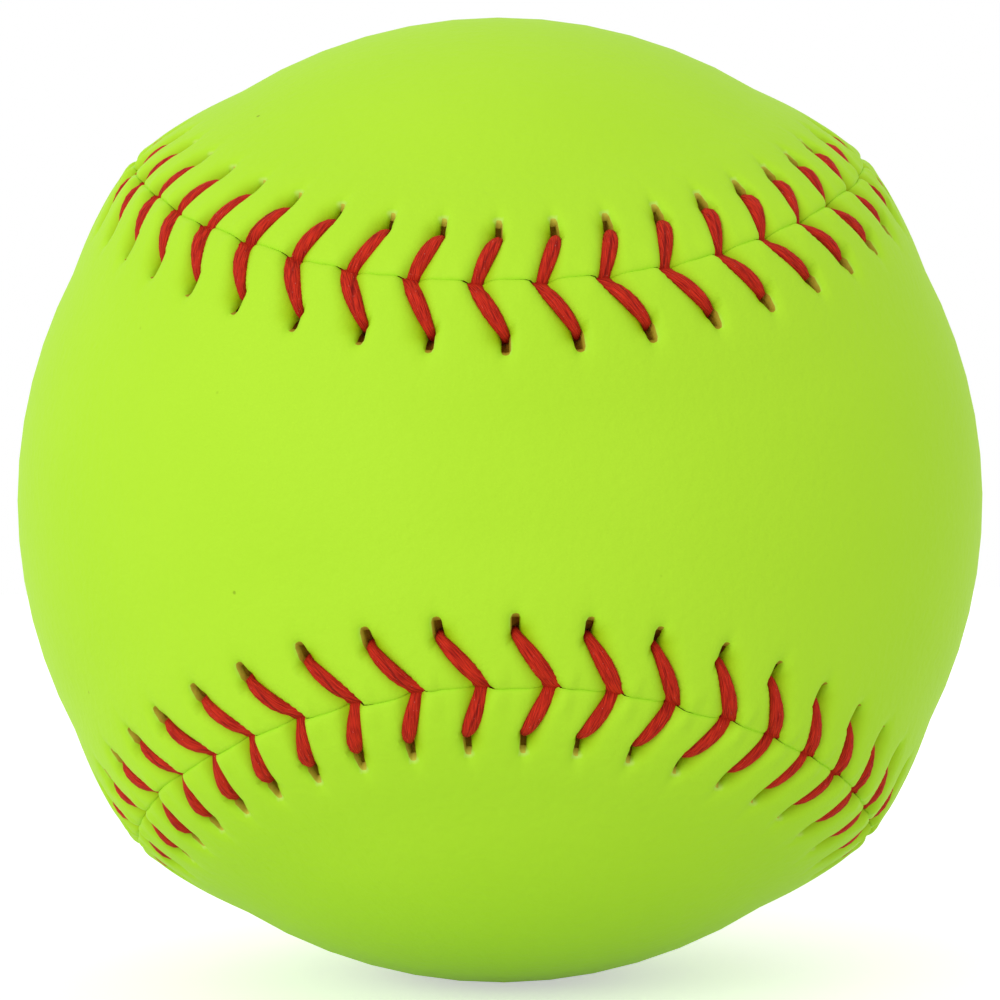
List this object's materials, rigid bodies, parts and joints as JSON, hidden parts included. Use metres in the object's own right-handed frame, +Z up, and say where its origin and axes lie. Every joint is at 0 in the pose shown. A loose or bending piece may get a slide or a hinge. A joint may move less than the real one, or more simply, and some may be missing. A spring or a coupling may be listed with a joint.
{
  "type": "softball",
  "caption": "Laced softball: foam core under a two-panel figure-eight cover of faced synthetic leather, drawn together by raised V lacing.",
  "frame": {"origin": "centre of the ball", "axes": "+Z up, -Y through the waist of the front panel, +X and -X through the two lobes of the front panel"},
  "size_m": [0.089, 0.09, 0.089],
  "materials": {
    "core_foam": "moulded polyurethane foam with a smooth skin",
    "cement": "dried contact cement film",
    "cover_backing": "felted fibre backing of the cover sheet",
    "cover_facing": "fluorescent yellow-green synthetic leather, fine grain, low sheen",
    "lacing_thread": "waxed red multi-filament thread"
  },
  "bodies": {
    "root": {"core": "core_foam", "cement_film": "cement", "front_backing": "cover_backing", "rear_backing": "cover_backing", "front_facing": "cover_facing", "rear_facing": "cover_facing", "lacing_first": "lacing_thread", "lacing_second": "lacing_thread"}
  },
  "joints": []
}
